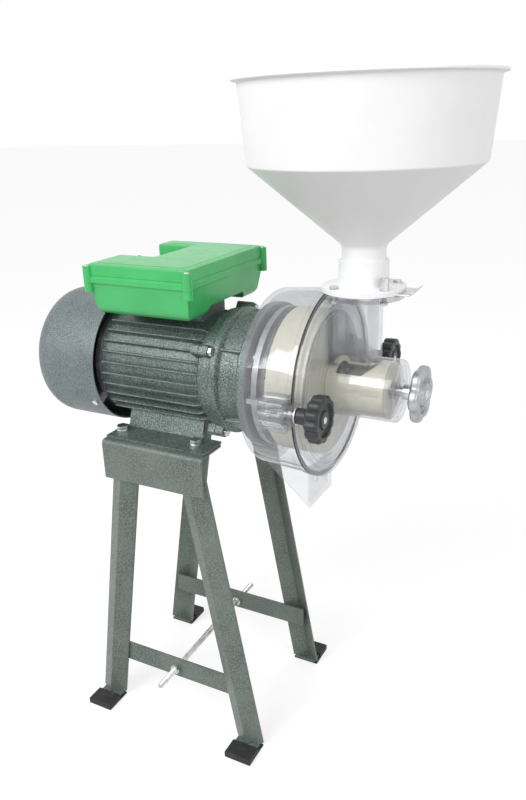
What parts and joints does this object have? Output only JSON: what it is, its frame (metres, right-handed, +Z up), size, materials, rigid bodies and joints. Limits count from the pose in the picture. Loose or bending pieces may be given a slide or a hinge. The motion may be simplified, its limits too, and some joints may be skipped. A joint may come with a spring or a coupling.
{
  "type": "electric grain mill",
  "caption": "Electric disc grain mill: motor with capacitor box on a four-legged stand, clear milling head, round hopper, slide gate and front handwheel.",
  "frame": {"origin": "on the floor, under the middle of the bounding box", "axes": "+Z up; +X along the motor shaft from the fan cowl towards the handwheel; -Y towards the picture's near side"},
  "size_m": [0.5756, 0.2814, 0.845],
  "materials": {
    "stand_paint": "smooth hammer finish, grey-green",
    "motor_paint": "speckled hammer finish, grey-green",
    "cast_aluminium": "as cast",
    "zinc_steel": "zinc plated",
    "bare_steel": "ground",
    "steel_laminate": "stacked sheet",
    "copper_winding": "varnished copper",
    "clear_plastic": "clear moulded plastic",
    "cream_plastic": "moulded",
    "white_plastic": "moulded",
    "green_plastic": "moulded",
    "black_plastic": "moulded",
    "black_rubber": "moulded",
    "grey_plastic": "moulded",
    "grinding_stone": "cut"
  },
  "bodies": {
    "root": {"box_lid": "green_plastic", "brace_far": "stand_paint", "brace_near": "stand_paint", "capacitor_box": "green_plastic", "chamber_screws": "zinc_steel", "cord_gland": "black_plastic", "cover_gasket": "black_rubber", "cowl_screws": "zinc_steel", "fan_cowl": "motor_paint", "foot_bolts": "zinc_steel", "foot_pads": "black_rubber", "front_end_shield": "motor_paint", "grinding_chamber": "clear_plastic", "leg_far_back": "stand_paint", "leg_far_front": "stand_paint", "leg_near_back": "stand_paint", "leg_near_front": "stand_paint", "lid_screws": "zinc_steel", "motor_bearings": "bare_steel", "motor_foot_far": "motor_paint", "motor_foot_near": "motor_paint", "motor_housing": "motor_paint", "outlet_spout": "clear_plastic", "rail_far": "stand_paint", "rail_near": "stand_paint", "rear_end_shield": "cast_aluminium", "run_capacitor": "grey_plastic", "shaft_seal": "black_rubber", "shield_bolts": "zinc_steel", "start_capacitor": "black_plastic", "stator_core": "steel_laminate", "stator_winding": "copper_winding", "terminal_block": "white_plastic", "tie_rod": "zinc_steel", "tie_rod_nuts": "zinc_steel"},
    "rotor": {"motor_shaft": "bare_steel", "rotor_core": "steel_laminate", "start_governor": "black_plastic", "cooling_fan": "black_plastic", "disc_holder": "cast_aluminium", "turning_disc": "grinding_stone", "auger": "bare_steel"},
    "cover": {"front_cover": "clear_plastic", "feed_tube": "clear_plastic", "feed_chute": "clear_plastic", "feed_liner": "cream_plastic", "disc_carrier": "cream_plastic", "fixed_disc": "grinding_stone", "hopper_collar": "white_plastic", "collar_screws": "zinc_steel"},
    "knob_near_carriage": {"knob_washer_near": "zinc_steel"},
    "knob_near": {"star_knob_near": "black_plastic"},
    "knob_far_carriage": {"knob_washer_far": "zinc_steel"},
    "knob_far": {"star_knob_far": "black_plastic"},
    "thrust": {"thrust_cup": "bare_steel"},
    "adjuster": {"adjusting_screw": "zinc_steel", "handwheel": "cast_aluminium"},
    "gate": {"slide_gate": "zinc_steel"},
    "hopper": {"hopper": "white_plastic"}
  },
  "joints": [
    {"name": "rotor_spin", "type": "hinge", "parent": "root", "child": "rotor", "pos_m": [0, 0, 0.508], "axis": [1, 0, 0], "continuous": true},
    {"name": "cover_pull", "type": "slide", "parent": "root", "child": "cover", "axis": [1, 0, 0], "range_m": [0, 0.12]},
    {"name": "knob_near_travel", "type": "slide", "parent": "cover", "child": "knob_near_carriage", "axis": [1, 0, 0], "range_m": [0, 0.0238]},
    {"name": "knob_near_turn", "type": "hinge", "parent": "knob_near_carriage", "child": "knob_near", "pos_m": [0, -0.1143, 0.508], "axis": [1, 0, 0], "range_deg": [0, 6840]},
    {"name": "knob_far_travel", "type": "slide", "parent": "cover", "child": "knob_far_carriage", "axis": [1, 0, 0], "range_m": [0, 0.0238]},
    {"name": "knob_far_turn", "type": "hinge", "parent": "knob_far_carriage", "child": "knob_far", "pos_m": [0, 0.1143, 0.508], "axis": [1, 0, 0], "range_deg": [0, 6840]},
    {"name": "handwheel_travel", "type": "slide", "parent": "cover", "child": "thrust", "axis": [1, 0, 0], "range_m": [0, 0.0061]},
    {"name": "handwheel_turn", "type": "hinge", "parent": "thrust", "child": "adjuster", "pos_m": [0, 0, 0.508], "axis": [1, 0, 0], "range_deg": [0, 1440]},
    {"name": "gate_slide", "type": "slide", "parent": "cover", "child": "gate", "axis": [1, 0, 0], "range_m": [0, 0.045]},
    {"name": "hopper_lift", "type": "slide", "parent": "cover", "child": "hopper", "axis": [0, 0, 1], "range_m": [0, 0.05]}
  ],
  "couplings": [
    {"joint": "knob_near_travel", "follows": "knob_near_turn", "m_per_rad": 0.00019894},
    {"joint": "knob_far_travel", "follows": "knob_far_turn", "m_per_rad": 0.00019894},
    {"joint": "handwheel_travel", "follows": "handwheel_turn", "m_per_rad": 0.00023873}
  ]
}
